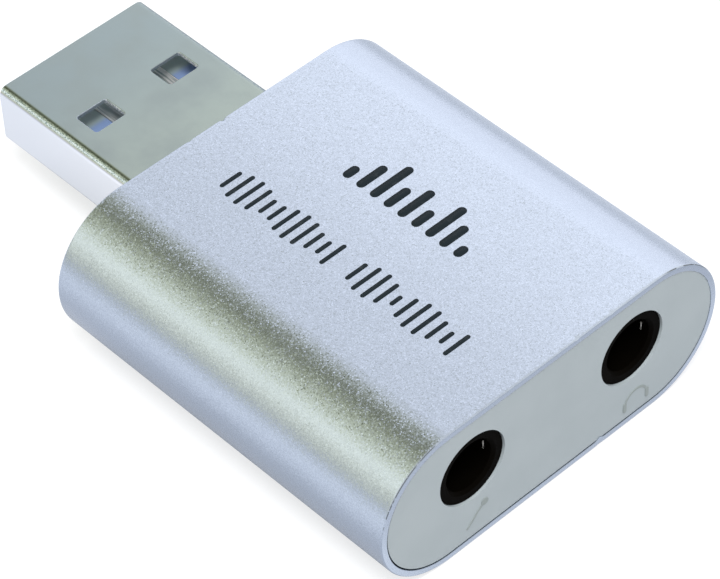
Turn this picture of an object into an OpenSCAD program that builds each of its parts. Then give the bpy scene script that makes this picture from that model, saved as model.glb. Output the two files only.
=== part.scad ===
// USB sound card: a flat-oval aluminium sleeve with a USB plug at one end and two 3.5 mm jacks at the other.
// Millimetres. +Y points out of the plug, +Z is up, and the sleeve's flat underside lies on z = 0.
// The origin is at the middle of the whole length.

/* [Case] */
// Width of the aluminium sleeve, outside
case_w = 27.6; // [27.2:0.1:32]
// Height of the aluminium sleeve, outside
case_h = 10.7; // [10.5:0.1:12]
// Length of the aluminium sleeve
case_len = 28.1; // [27.8:0.1:34]
// Wall of the sleeve between its two rebates
case_wall = 0.9; // [0.8:0.05:1]
// Thickness of the lip that each rebate leaves round an end cap
lip_t = 0.45; // [0.35:0.05:0.6]
// Depth of the rebate that takes an end cap's flange
rebate_deep = 1.5; // [1.3:0.1:1.8]
// Bevel on the outer edge of each end of the sleeve
case_bevel = 0.12; // [0.05:0.01:0.2]

/* [End caps] */
// How far the face of an end cap lies inside the sleeve
cap_recess = 0.2; // [0.1:0.05:0.4]
// Gap between an end cap's flange and the lip round it
cap_gap = 0.1; // [0.05:0.01:0.15]
// Length of the spigot behind a flange
spigot_deep = 2.5; // [2:0.1:3]
// Wall of the spigot
spigot_t = 0.7; // [0.5:0.05:0.8]
// Gap between the spigot and the sleeve
spigot_gap = 0.1; // [0.05:0.01:0.15]
// Thickness of the ledges that hold the board
ledge_t = 0.8; // [0.6:0.05:1]
// How far a ledge reaches over the board's edge
ledge_grip = 0.8; // [0.5:0.05:1]

/* [Circuit board] */
// Thickness of the circuit board
board_t = 1; // [0.8:0.1:1.2]
// How far the top of the board lies below the middle of the sleeve
board_drop = 1.55; // [1.4:0.05:1.6]
// Gap between the board and the parts that hold it
board_gap = 0.1; // [0.05:0.01:0.15]
// Length of pin that stands out below the board
pin_below = 0.8; // [0.5:0.05:0.9]
// Gap round a pin in its hole in the board
pin_gap = 0.1; // [0.05:0.01:0.15]
// Smallest gap between neighbouring parts on the board
part_gap = 0.4; // [0.3:0.05:0.5]

/* [USB plug] */
// Width of the plug's steel shield, outside
plug_w = 12; // [11.9:0.05:12.1]
// Height of the plug's steel shield, outside
plug_h = 4.5; // [4.4:0.05:4.6]
// Length of plug that stands out of the sleeve
plug_out = 14.8; // [14:0.1:16]
// Length of plug inside the sleeve
plug_in = 5; // [4.6:0.1:5.2]
// How far the middle of the plug lies above the top of the board
plug_rise = 1.37; // [1.3:0.01:1.45]
// Thickness of the steel sheet
sheet_t = 0.3; // [0.25:0.01:0.32]
// Outer radius of the folds along the plug
fold_r = 0.6; // [0.5:0.05:0.7]
// Gap between the plug and the slot in the rear cap
plug_gap = 0.1; // [0.05:0.01:0.15]
// Width of each window
window_w = 2.4; // [2.2:0.05:2.5]
// Length of each window along the plug
window_len = 1.95; // [1.8:0.05:2.2]
// Distance between the middles of the two windows
window_pitch = 6.1; // [5.9:0.05:6.3]
// Distance from the tip of the plug to the near edge of a window
window_at = 5.5; // [5.2:0.05:5.8]
// Radius of the corners of a window
window_r = 0.2; // [0.1:0.05:0.3]
// Width of the slit where the sheet's two edges meet under the plug
seam_gap = 0.06; // [0.04:0.01:0.08]
// Width of a solder leg of the shield
leg_w = 1.6; // [1.2:0.1:1.8]

/* [USB tongue and contacts] */
// Thickness of the plastic tongue
tongue_t = 1.95; // [1.84:0.01:1.98]
// How far the tongue ends short of the plug's tip
tongue_back = 0.4; // [0.3:0.05:0.6]
// Depth of the open mouth above the tongue
mouth_deep = 9.2; // [8.9:0.1:9.6]
// Gap between the tongue's block and the shield
tongue_gap = 0.05; // [0.03:0.01:0.08]
// Width of a contact
contact_w = 1; // [0.9:0.05:1.1]
// Thickness of a contact
contact_t = 0.25; // [0.2:0.01:0.3]
// How far a contact stands above the tongue
contact_proud = 0.05; // [0.02:0.01:0.08]
// Distance between the two inner contacts
inner_pitch = 2; // [1.9:0.05:2.1]
// Distance between the two outer contacts
outer_pitch = 7; // [6.9:0.05:7.1]
// Distance from the plug's tip to an outer contact, which meets first
outer_at = 1.2; // [1:0.1:1.4]
// Distance from the plug's tip to an inner contact
inner_at = 2.2; // [2:0.1:2.4]
// Length of a contact's solder foot
foot_len = 1; // [0.8:0.05:1.1]

/* [Jacks] */
// Distance between the middles of the two jacks
jack_pitch = 13.1; // [12.9:0.05:13.4]
// Width of a jack's housing
jack_w = 6; // [5.8:0.05:6.1]
// Height of a jack's housing
jack_h = 5; // [4.9:0.05:5.1]
// Bore of a jack, for a 3.5 mm plug
jack_bore_d = 3.6; // [3.55:0.01:3.65]
// Depth of the bore
jack_deep = 14; // [13.8:0.1:14.2]
// Wall behind the bore
jack_back_t = 0.7; // [0.5:0.05:0.8]
// Diameter of a jack's nose, which shows in the front cap
nose_d = 5.06; // [4.9:0.02:5.2]
// Gap between the nose and the hole in the front cap
nose_gap = 0.06; // [0.04:0.01:0.1]
// Bevel at the mouth of the bore
mouth_bevel = 0.2; // [0.1:0.05:0.3]
// Distance from the bottom of the bore to the middle of the ring contact
ring_back = 5.1; // [4.9:0.1:5.3]
// Distance from the bottom of the bore to the middle of the tip contact
tip_back = 1.9; // [1.6:0.1:2]
// Thickness of a jack's spring contact
spring_t = 0.2; // [0.15:0.01:0.22]
// Gap between a resting spring and the bore
spring_gap = 0.05; // [0.03:0.01:0.1]

/* [Parts on the board] */
// Length of the codec chip's body
codec_len = 9.9; // [9.6:0.1:10]
// Width of the codec chip's body
codec_w = 3.9; // [3.8:0.05:3.9]
// Height of the codec chip's body
codec_h = 1.4; // [1.2:0.05:1.5]
// Width across the codec chip's leads
codec_span = 6; // [5.8:0.1:6]
// Distance from one lead of the codec chip to the next
codec_pitch = 1.27; // [1.2:0.01:1.27]
// Diameter of a capacitor's can
can_d = 3; // [2.8:0.1:3.1]
// Height of a capacitor's can above its base
can_h = 4.4; // [4:0.1:4.6]
// Width of a capacitor's base
can_base_w = 3.3; // [3.2:0.05:3.4]
// Length of the crystal's ceramic base
crystal_len = 5; // [4.8:0.1:5.2]
// Width of the crystal's ceramic base
crystal_w = 3.2; // [3:0.05:3.3]
// Height of the crystal above the board
crystal_h = 1.1; // [1:0.05:1.3]
// Length of a resistor or chip capacitor
chip_len = 1.6; // [1.5:0.05:1.6]
// Width of a resistor or chip capacitor
chip_w = 0.8; // [0.7:0.05:0.85]

/* [Hidden] */
SPRINGS = ["sleeve", "ring", "tip"];
JACKS = ["mic", "headphone"];
$fn = 64;

// Depth that a cutting shape runs past the face it cuts
over = 0.5;

// Places along the length
y_front = -(case_len + plug_out) / 2;
y_rear = y_front + case_len;
y_tip = y_rear + plug_out;
y_nose = y_front + cap_recess;
y_shoulder = y_front + rebate_deep;
y_jack_back = y_nose + jack_deep + jack_back_t;
y_plug_back = y_rear - plug_in;

// Places in height
mid_z = case_h / 2;
board_z = mid_z - board_drop;
jack_z = board_z + jack_h / 2;
plug_z = board_z + plug_rise;
pin_end_z = board_z - board_t - pin_below;

// The board fills the width inside the spigots at its own height
spigot_inner_r = mid_z - case_wall - spigot_gap - spigot_t;
board_under = board_drop + board_t;
board_w = case_w - case_h + 2 * sqrt(pow(spigot_inner_r, 2) - pow(board_under, 2)) - 2 * board_gap;
board_len = case_len - 2 * rebate_deep - 2 * board_gap;

// The room inside the shield
plug_inner_w = plug_w - 2 * sheet_t;
plug_inner_h = plug_h - 2 * sheet_t;
tongue_z = plug_z - plug_inner_h / 2 + tongue_t;
y_mouth = y_tip - mouth_deep;

// USB contacts run level on the tongue and step down to the board behind it
contact_z = tongue_z + contact_proud - contact_t / 2;
contact_foot_z = board_z + contact_t / 2;
contact_step = 0.5;
y_foot_back = y_plug_back - contact_step - contact_t;
y_foot_front = y_foot_back - foot_len;

// Solder legs of the shield
leg_at = 0.7;
leg_reach = 1.3;

// A spring leaf lies in a pocket beside the bore, with its tail going down through the board
pocket_len = 3;
pocket_wall = 0.45;
pocket_top = 0.9;
pocket_out = jack_w / 2 - pocket_wall;
leaf_h = 1.4;
tail_w = 0.8;
tail_x = pocket_out - spring_gap - spring_t / 2;
tail_y = -pocket_len / 2 + spring_gap + tail_w / 2;
apex_x = jack_bore_d / 2 + spring_gap + spring_t / 2;
sleeve_at = rebate_deep - cap_recess + spigot_deep + part_gap + pocket_len / 2;
spring_places = [sleeve_at, jack_deep - ring_back, jack_deep - tip_back];
spring_sides = [-1, 1, -1];
peg_d = 0.9;
peg_places = [jack_deep / 2, jack_deep - tip_back];

// The tall parts stand in the room between the jacks and the USB contacts
y_parts = (y_jack_back + y_foot_front) / 2;
can_x = board_w / 2 - part_gap - can_base_w / 2;
can_base_h = 0.8;
crystal_base_h = 0.7;
crystal_rim = 0.3;
crystal_r = 0.3;

// The codec chip lies between the jacks
y_codec = (y_shoulder + y_jack_back) / 2;
codec_standoff = 0.15;
lead_t = 0.2;
lead_w = 0.41;
lead_count = 8;
lead_z = board_z + codec_standoff + codec_h / 2;
draft = 0.12;

// Small chips
chip_h = 0.45;
chip_end = 0.3;
chip_step = 0.03;
chip_pitch = chip_w + part_gap;

// Direction from one point to another, as a unit vector
function heading(a, b) = (b - a) / norm(b - a);
// Unit vector to the left of a direction
function left_of(d) = [-d[1], d[0]];
// Sum of the left-hand normals of the stretches that meet at point i of a path
function corner_normal(path, i) =
    left_of(heading(path[max(i - 1, 0)], path[max(i, 1)]))
    + left_of(heading(path[min(i, len(path) - 2)], path[min(i + 1, len(path) - 1)]));
// Point i of a path, moved to the left by a distance, with a mitre at the corners
function beside(path, i, distance) =
    let (n = corner_normal(path, i)) path[i] + 2 * distance * n / (n * n);
// Outline of a strip of sheet of thickness t that follows a path along its middle
function strip(path, t) = concat(
    [for (i = [0:len(path) - 1]) beside(path, i, t / 2)],
    [for (i = [len(path) - 1:-1:0]) beside(path, i, -t / 2)]
);

// Turns a shape drawn in width and height, and extruded upward, so that its depth runs along +Y
module along_y() {
    rotate([90, 0, 0]) mirror([0, 0, 1]) children();
}

// A round-cornered rectangle about the origin
module round_rect(w, h, r) {
    square([w - 2 * r, h], center = true);
    square([w, h - 2 * r], center = true);
    for (x = [-1, 1]) for (y = [-1, 1])
        translate([x * (w / 2 - r), y * (h / 2 - r)]) circle(r);
}

// The sleeve's flat oval, or one inside it by an inset, in width and height
module oval(inset = 0) {
    r = mid_z - inset;
    translate([0, mid_z]) {
        square([case_w - case_h, 2 * r], center = true);
        for (side = [-1, 1])
            translate([side * (case_w - case_h) / 2, 0]) circle(r);
    }
}

// A prism of the oval between two depths
module oval_prism(inset, from, to) {
    along_y() translate([0, 0, from]) linear_extrude(to - from) oval(inset);
}

// Sweeps a section, drawn in distance from the middle plane and height, round a flat oval of width w
module sweep_oval(w, h) {
    core = w - h;
    for (side = [0, 180])
        rotate([0, 0, side]) translate([core / 2, 0, 0]) rotate([0, 0, -90])
            rotate_extrude(angle = 180) children();
    for (side = [0, 180])
        rotate([0, 0, side]) translate([-core / 2, 0, 0]) rotate([90, 0, 90])
            linear_extrude(core) children();
}

// The sleeve: one extruded wall, rebated at both ends for the caps
module shell() {
    r = mid_z;
    color("#ccd2df") translate([0, y_front, mid_z]) along_y() sweep_oval(case_w, case_h)
        polygon([
            [r - lip_t, 0], [r - case_bevel, 0], [r, case_bevel],
            [r, case_len - case_bevel], [r - case_bevel, case_len], [r - lip_t, case_len],
            [r - lip_t, case_len - rebate_deep], [r - case_wall, case_len - rebate_deep],
            [r - case_wall, rebate_deep], [r - lip_t, rebate_deep]
        ]);
}

// Ledges over and under both edges of the board, inside the spigot
module ledges(gap) {
    ledge_x = board_w / 2 - ledge_grip;
    intersection() {
        oval_prism(case_wall + spigot_gap, rebate_deep - over, rebate_deep + spigot_deep);
        for (side = [0, 1]) mirror([side, 0, 0]) for (z = [board_z + gap, board_z - board_t - gap - ledge_t])
            translate([ledge_x, rebate_deep - over, z])
                cube([case_w / 2 - ledge_x, spigot_deep + over, ledge_t]);
    }
}

// A plain end cap, with its face at the depth of the recess and its spigot pointing along +Y
module cap_blank() {
    spigot_end = rebate_deep + spigot_deep;
    oval_prism(lip_t + cap_gap, cap_recess, rebate_deep);
    difference() {
        oval_prism(case_wall + spigot_gap, rebate_deep, spigot_end);
        oval_prism(case_wall + spigot_gap + spigot_t, rebate_deep - over, spigot_end + over);
    }
    ledges(board_gap / 2);
}

// Places a shape at each jack's axis, with y = 0 at the face of the nose
module at_jack(side) {
    translate([side * jack_pitch / 2, y_nose, jack_z]) children();
}

// The front cap: two holes for the jacks' noses, and room for their housings behind the flange
module front_cap() {
    color("#f0f1f3") difference() {
        translate([0, y_front, 0]) cap_blank();
        for (side = [-1, 1]) at_jack(side) {
            along_y() translate([0, 0, -over]) cylinder(h = jack_deep, d = nose_d + 2 * nose_gap);
            translate([-jack_w / 2 - part_gap / 2, y_shoulder - y_nose, -jack_h / 2 - board_gap])
                cube([jack_w + part_gap, jack_deep, jack_h + board_gap + part_gap / 2]);
        }
    }
}

// The rear cap: a slot for the plug
module rear_cap() {
    color("#f0f1f3") difference() {
        translate([0, y_rear, 0]) mirror([0, 1, 0]) cap_blank();
        translate([0, y_plug_back, plug_z]) along_y() linear_extrude(plug_in + over)
            round_rect(plug_w + 2 * plug_gap, plug_h + 2 * plug_gap, fold_r + plug_gap);
    }
}

// Place of a solder leg's pin, outside the shield's wall
function leg_x() = plug_w / 2 + leg_reach - sheet_t / 2;

// The circuit board: a notch takes the plug, and plated holes take the pins, pegs and legs
module board() {
    notch_w = plug_w + 2 * board_gap;
    notch_front = y_plug_back - board_gap;
    board_front = y_shoulder + board_gap;
    color("#1f6b45") translate([0, 0, board_z - board_t]) linear_extrude(board_t) difference() {
        translate([-board_w / 2, board_front]) square([board_w, board_len]);
        translate([-notch_w / 2, notch_front]) square([notch_w, plug_in]);
        for (side = [-1, 1]) {
            translate([side * jack_pitch / 2, y_nose]) {
                for (i = [0:len(SPRINGS) - 1])
                    translate([spring_sides[i] * tail_x, spring_places[i] + tail_y])
                        circle(d = tail_w + 2 * pin_gap);
                for (y = peg_places) translate([0, y]) circle(d = peg_d + 2 * pin_gap);
            }
            translate([side * leg_x(), y_plug_back + leg_at + leg_w / 2])
                square([sheet_t + 2 * pin_gap, leg_w + 2 * pin_gap], center = true);
        }
    }
}

// The windows' outlines, seen from above
module windows(trim) {
    for (side = [-1, 1])
        translate([side * window_pitch / 2, y_tip - window_at - window_len / 2])
            round_rect(window_w - 2 * trim, window_len - 2 * trim, window_r);
}

// The slit under the plug, with two dovetail keys that lock the sheet's edges together
module seam() {
    key_from_end = 3.2;
    key_places = [y_tip - key_from_end, y_rear + key_from_end];
    key_out = 0.9;
    key_root = 0.5;
    key_flare = 0.25;
    route = concat(
        [[0, y_tip + over]],
        [for (y = key_places) each [
            [0, y + key_root], [key_out, y + key_root + key_flare],
            [key_out, y - key_root - key_flare], [0, y - key_root]
        ]],
        [[0, y_plug_back - over]]
    );
    polygon(strip(route, seam_gap));
}

// The plug's shield: one folded sheet with windows, a locked seam and two solder legs
module usb_shield() {
    leg_path = [
        [plug_w / 2 - sheet_t, board_z + sheet_t / 2],
        [leg_x(), board_z + sheet_t / 2],
        [leg_x(), pin_end_z]
    ];
    color("#b9c4c2") {
        difference() {
            translate([0, y_plug_back, plug_z]) along_y() difference() {
                linear_extrude(plug_in + plug_out) round_rect(plug_w, plug_h, fold_r);
                translate([0, 0, -over]) linear_extrude(plug_in + plug_out + 2 * over)
                    round_rect(plug_inner_w, plug_inner_h, fold_r - sheet_t);
            }
            translate([0, 0, plug_z - plug_h]) linear_extrude(2 * plug_h) windows(0);
            translate([0, 0, plug_z - plug_h / 2 - over]) linear_extrude(sheet_t + 2 * over) seam();
        }
        for (side = [0, 1]) mirror([side, 0, 0])
            translate([0, y_plug_back + leg_at, 0]) along_y() linear_extrude(leg_w)
                polygon(strip(leg_path, sheet_t));
    }
}

// Distance of a contact from the middle of the plug, and of its end from the plug's tip
function contact_x(i) = [-outer_pitch, -inner_pitch, inner_pitch, outer_pitch][i - 1] / 2;
function contact_at(i) = [outer_at, inner_at, inner_at, outer_at][i - 1];

// The plug's tongue with the block behind it: grooves for the contacts, and studs in the lower windows
module usb_tongue() {
    low_z = plug_z - plug_inner_h / 2 + tongue_gap;
    high_z = plug_z + plug_inner_h / 2 - tongue_gap;
    w = plug_inner_w - 2 * tongue_gap;
    y_end = y_tip - tongue_back;
    stud_h = sheet_t - tongue_gap;
    corner = fold_r - sheet_t;
    color("#3f62a6") {
        difference() {
            intersection() {
                translate([-w / 2, 0, 0]) rotate([90, 0, 90]) linear_extrude(w)
                    polygon([
                        [y_plug_back, low_z], [y_end, low_z], [y_end, tongue_z],
                        [y_mouth, tongue_z], [y_mouth, high_z], [y_plug_back, high_z]
                    ]);
                translate([0, y_plug_back, plug_z]) along_y() linear_extrude(plug_in + plug_out)
                    round_rect(w, high_z - low_z, corner);
            }
            for (i = [1:4])
                translate([
                    contact_x(i) - contact_w / 2 - tongue_gap,
                    y_plug_back - over,
                    contact_z - contact_t / 2 - tongue_gap
                ])
                    cube([
                        contact_w + 2 * tongue_gap,
                        y_tip - contact_at(i) + tongue_gap - y_plug_back + over,
                        contact_t + 2 * tongue_gap
                    ]);
        }
        translate([0, 0, low_z - tongue_gap - stud_h]) linear_extrude(stud_h + tongue_gap + window_r)
            windows(plug_gap);
    }
}

// One of the plug's four contacts, from the tongue to its solder foot on the board
module usb_contact(i) {
    path = [
        [y_tip - contact_at(i), contact_z],
        [y_plug_back - contact_step + contact_t, contact_z],
        [y_foot_back, contact_foot_z],
        [y_foot_front, contact_foot_z]
    ];
    color("#d6b25e") translate([contact_x(i) - contact_w / 2, 0, 0])
        rotate([90, 0, 90]) linear_extrude(contact_w) polygon(strip(path, contact_t));
}

// A jack's housing: the nose, the bore, side pockets for the springs and two pegs for the board
module jack_body() {
    shoulder = y_shoulder - y_nose;
    back = jack_deep + jack_back_t;
    roof_bevel = 0.5;
    w = jack_w / 2;
    h = jack_h / 2;
    color("#17181a") difference() {
        union() {
            along_y() cylinder(h = shoulder + board_gap / 2, d = nose_d);
            translate([0, shoulder, 0]) along_y() linear_extrude(back - shoulder)
                polygon([[-w, -h], [w, -h], [w, h - roof_bevel], [w - roof_bevel, h], [roof_bevel - w, h], [-w, h - roof_bevel]]);
            for (y = peg_places) translate([0, y, -h - board_t]) cylinder(h = board_t + over, d = peg_d);
        }
        along_y() cylinder(h = jack_deep, d = jack_bore_d);
        along_y() rotate_extrude() polygon([
            [0, -over], [jack_bore_d / 2 + mouth_bevel + over, -over],
            [jack_bore_d / 2, mouth_bevel], [0, mouth_bevel]
        ]);
        for (i = [0:len(SPRINGS) - 1]) mirror([spring_sides[i] < 0 ? 1 : 0, 0, 0])
            translate([jack_bore_d / 4, spring_places[i] - pocket_len / 2, -h - over])
                cube([pocket_out - jack_bore_d / 4, pocket_len, h + over + pocket_top]);
    }
}

// A spring leaf that rests beside the bore, with its tail down through the board
module jack_spring(i) {
    leaf_end = pocket_len / 2 - spring_gap;
    apex_y = (tail_y + tail_w / 2 + leaf_end) / 2;
    leaf = [
        [tail_x, tail_y - tail_w / 2],
        [tail_x, tail_y + tail_w / 2],
        [apex_x, apex_y],
        [tail_x, leaf_end]
    ];
    tail_low = pin_end_z - jack_z;
    color("#cfc8b4") mirror([spring_sides[i] < 0 ? 1 : 0, 0, 0]) translate([0, spring_places[i], 0]) {
        translate([0, 0, -leaf_h / 2]) linear_extrude(leaf_h) polygon(strip(leaf, spring_t));
        translate([tail_x - spring_t / 2, tail_y - tail_w / 2, tail_low])
            cube([spring_t, tail_w, -tail_low]);
    }
}

// The codec chip's moulded body, with a dimple that marks its first lead
module codec_chip() {
    w = codec_w / 2;
    top = codec_h / 2;
    band = lead_t / 2;
    dimple_d = 0.8;
    color("#222326") translate([0, y_codec, lead_z]) difference() {
        translate([0, -codec_len / 2, 0]) along_y() linear_extrude(codec_len)
            polygon([
                [w, -band], [w, band], [w - draft, top], [draft - w, top],
                [-w, band], [-w, -band], [draft - w, -top], [w - draft, -top]
            ]);
        translate([dimple_d - w, codec_len / 2 - dimple_d, top - lead_t / 2])
            cylinder(h = over, d = dimple_d);
    }
}

// The codec chip's gull-wing leads
module codec_leads() {
    foot_z = board_z + lead_t / 2;
    knee_x = (codec_w + codec_span) / 4;
    path = [
        [codec_w / 2, lead_z], [knee_x - lead_t, lead_z],
        [knee_x + lead_t / 2, foot_z], [codec_span / 2, foot_z]
    ];
    color("#c9ccd0") for (side = [0, 1]) mirror([side, 0, 0]) for (i = [0:lead_count - 1])
        translate([0, y_codec + (i - (lead_count - 1) / 2) * codec_pitch - lead_w / 2, 0])
            along_y() linear_extrude(lead_w) polygon(strip(path, lead_t));
}

// The crystal's ceramic base, with a notch at each corner for its plating
module crystal_base() {
    color("#c9b98f") translate([0, y_parts, board_z]) linear_extrude(crystal_base_h) difference() {
        square([crystal_len, crystal_w], center = true);
        for (x = [-1, 1]) for (y = [-1, 1])
            translate([x * crystal_len / 2, y * crystal_w / 2]) circle(crystal_r);
    }
}

// The crystal's metal lid, welded to the base
module crystal_lid() {
    color("#d3d6da") translate([0, y_parts, board_z + crystal_base_h]) linear_extrude(crystal_h - crystal_base_h)
        round_rect(crystal_len - 2 * crystal_rim, crystal_w - 2 * crystal_rim, crystal_r);
}

// A capacitor's aluminium can, with its rolled neck and rounded rim
module capacitor_can(i) {
    r = can_d / 2;
    neck = 0.15;
    neck_low = 0.7;
    neck_high = 1.2;
    rim = 0.25;
    color("#d3d6da") translate([(2 * i - 3) * can_x, y_parts, board_z + can_base_h]) rotate_extrude()
        polygon([
            [0, 0], [r, 0], [r, neck_low], [r - neck, (neck_low + neck_high) / 2], [r, neck_high],
            [r, can_h - rim], [r - rim, can_h], [0, can_h]
        ]);
}

// A capacitor's plastic base, with two bevelled corners that mark its polarity
module capacitor_base(i) {
    h = can_base_w / 2;
    bevel = 0.6;
    color("#26272a") translate([(2 * i - 3) * can_x, y_parts, board_z]) linear_extrude(can_base_h)
        polygon([[-h, -h], [h, -h], [h, h - bevel], [h - bevel, h], [bevel - h, h], [-h, h - bevel]]);
}

// A small chip part with its two plated ends, about the origin
module chip() {
    translate([-chip_len / 2 + chip_end, -chip_w / 2 + chip_step, 0])
        cube([chip_len - 2 * chip_end, chip_w - 2 * chip_step, chip_h - chip_step]);
    for (side = [0, 1]) mirror([side, 0, 0]) translate([chip_len / 2 - chip_end, -chip_w / 2, 0])
        cube([chip_end, chip_w, chip_h]);
}

// A resistor beside the plug, two on each side of the board
module resistor(i) {
    side = i > 2 ? 1 : -1;
    row = (i - 1) % 2;
    color("#2b2c30") translate([
        side * (board_w / 2 - ledge_grip - part_gap - chip_len / 2),
        y_parts + can_base_w / 2 + part_gap + chip_w / 2 + row * chip_pitch,
        board_z
    ]) chip();
}

// A chip capacitor under the board, below the codec chip
module chip_capacitor(i) {
    side = i > 2 ? 1 : -1;
    row = (i - 1) % 2;
    color("#b89468") translate([
        side * (chip_len + part_gap) / 2,
        y_codec + (row - 0.5) * chip_pitch,
        board_z - board_t
    ]) mirror([0, 0, 1]) chip();
}

shell();
front_cap();
rear_cap();
board();
usb_shield();
usb_tongue();
for (i = [1:4])
    usb_contact(i);
for (j = [0, 1]) {
    at_jack(2 * j - 1) jack_body();
    for (i = [0:len(SPRINGS) - 1])
        at_jack(2 * j - 1) jack_spring(i);
}
codec_chip();
codec_leads();
crystal_base();
crystal_lid();
for (i = [1:2]) {
    capacitor_can(i);
    capacitor_base(i);
}
for (i = [1:4]) {
    resistor(i);
    chip_capacitor(i);
}
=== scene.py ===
"""Looks of the USB sound card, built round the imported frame.

Lengths are written in millimetres, in the part's own frame: +Y points out of the plug, +Z is up, and the
jacks face -Y. A mesh is turned into metres when it becomes an object.
"""
import logging
import math
from collections.abc import Callable, Mapping, Sequence
from dataclasses import dataclass, field
from enum import Enum
from typing import Any

import bmesh
import bpy
from mathutils import Matrix, Vector


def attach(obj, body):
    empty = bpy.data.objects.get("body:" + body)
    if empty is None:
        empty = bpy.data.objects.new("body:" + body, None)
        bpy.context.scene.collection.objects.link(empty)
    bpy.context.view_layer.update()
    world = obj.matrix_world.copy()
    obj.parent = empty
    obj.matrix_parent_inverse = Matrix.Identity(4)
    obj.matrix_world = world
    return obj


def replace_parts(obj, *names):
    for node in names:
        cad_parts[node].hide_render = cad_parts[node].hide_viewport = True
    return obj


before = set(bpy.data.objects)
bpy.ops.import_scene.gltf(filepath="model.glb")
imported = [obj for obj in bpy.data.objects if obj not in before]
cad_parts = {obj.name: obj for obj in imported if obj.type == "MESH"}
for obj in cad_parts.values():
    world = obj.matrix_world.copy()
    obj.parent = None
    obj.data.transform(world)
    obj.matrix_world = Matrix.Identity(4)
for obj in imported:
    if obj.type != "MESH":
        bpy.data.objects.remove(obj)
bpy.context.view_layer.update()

MM = 0.001
FULL_TURN = 2 * math.pi
HALF_TURN = math.pi
QUARTER_TURN = math.pi / 2

JACK_PITCH = 13.1
FRONT_FACE = -21.4
REAR_FACE = 6.45
WELD_GAP = 0.001
SHARP_EDGE = math.radians(40)

Point = tuple[float, float]
Span = tuple[float, float]
Outline = list[Point]
Colour = tuple[float, float, float]
Place = tuple[float, float, float]
log = logging.getLogger("usb_sound_card")


class Body(Enum):
    """The bodies that a piece may ride on."""

    ROOT = "root"


class Slot(Enum):
    """The record's material slots."""

    ALUMINIUM = "anodised_aluminium"
    CAP = "cap_plastic"
    BOARD = "board_laminate"
    NICKEL = "nickel_steel"
    TONGUE = "tongue_plastic"
    GOLD = "gold_plate"
    JACK = "jack_plastic"
    SPRING = "spring_alloy"
    EPOXY = "chip_epoxy"
    LEAD = "tinned_lead"
    CAN = "can_metal"
    BASE = "base_plastic"
    RESISTOR = "resistor_body"
    CAPACITOR = "capacitor_body"


class Plane(Enum):
    """The plane that an outline is drawn in; the third axis is the one a slab is raised along."""

    TOP = "x y, raised along z"
    FRONT = "x z, raised along y"

    def place(self, u: float, v: float, level: float) -> Vector:
        """The point of the part's frame for a point of an outline and a level."""
        return Vector((u, v, level)) if self is Plane.TOP else Vector((u, level, v))


class Side(Enum):
    """The two jacks, by the side of the part that each is on."""

    MICROPHONE = -1
    HEADPHONE = 1


# Shader graphs


class Value:
    """A number on a node's socket, on which Python's operators add Math nodes."""

    def __init__(self, graph: "Graph", socket: bpy.types.NodeSocket) -> None:
        """Keep the graph and the socket."""
        self.graph = graph
        self.socket = socket

    def _math(self, operation: str, *operands: "Number") -> "Value":
        """Add one Math node on the operands."""
        node = self.graph.node("ShaderNodeMath", {"operation": operation}, dict(enumerate(operands)))
        return Value(self.graph, node.outputs[0])

    def __add__(self, other: "Number") -> "Value":
        """Sum of two numbers."""
        return self._math("ADD", self, other)

    def __sub__(self, other: "Number") -> "Value":
        """Difference of two numbers."""
        return self._math("SUBTRACT", self, other)

    def __rsub__(self, other: "Number") -> "Value":
        """Difference from a plain number."""
        return self._math("SUBTRACT", other, self)

    def __mul__(self, other: "Number") -> "Value":
        """Product of two numbers."""
        return self._math("MULTIPLY", self, other)

    def __neg__(self) -> "Value":
        """The number with its sign turned."""
        return self._math("MULTIPLY", self, -1.0)

    def __abs__(self) -> "Value":
        """The number without its sign."""
        return self._math("ABSOLUTE", self)

    __radd__ = __add__
    __rmul__ = __mul__

    def above(self, limit: float) -> "Value":
        """1 where the number is above the limit, otherwise 0."""
        return self._math("GREATER_THAN", self, limit)

    def arctan2(self, other: "Number") -> "Value":
        """Angle whose tangent is this number over the other, in radians."""
        return self._math("ARCTAN2", self, other)

    def sine(self) -> "Value":
        """Sine of an angle in radians."""
        return self._math("SINE", self)

    def root(self) -> "Value":
        """Square root of the number."""
        return self._math("SQRT", self)

    def at_least(self, other: "Number") -> "Value":
        """The higher of two numbers."""
        return self._math("MAXIMUM", self, other)

    def rise(self, low: float, high: float) -> "Value":
        """Smooth step.

        Args:
            low: Where it starts to rise from 0.
            high: Where it reaches 1.

        Returns:
            The step as a number between 0 and 1.
        """
        settings = {"interpolation_type": "SMOOTHSTEP"}
        inputs = {"Value": self, "From Min": low, "From Max": high}
        return Value(self.graph, self.graph.node("ShaderNodeMapRange", settings, inputs).outputs[0])

    def over(self, span: Span) -> "Value":
        """Smooth step over a span in millimetres."""
        return self.rise(span[0] * MM, span[1] * MM)


Number = Value | float
Input = Value | bpy.types.NodeSocket | float | Sequence[float]


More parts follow.
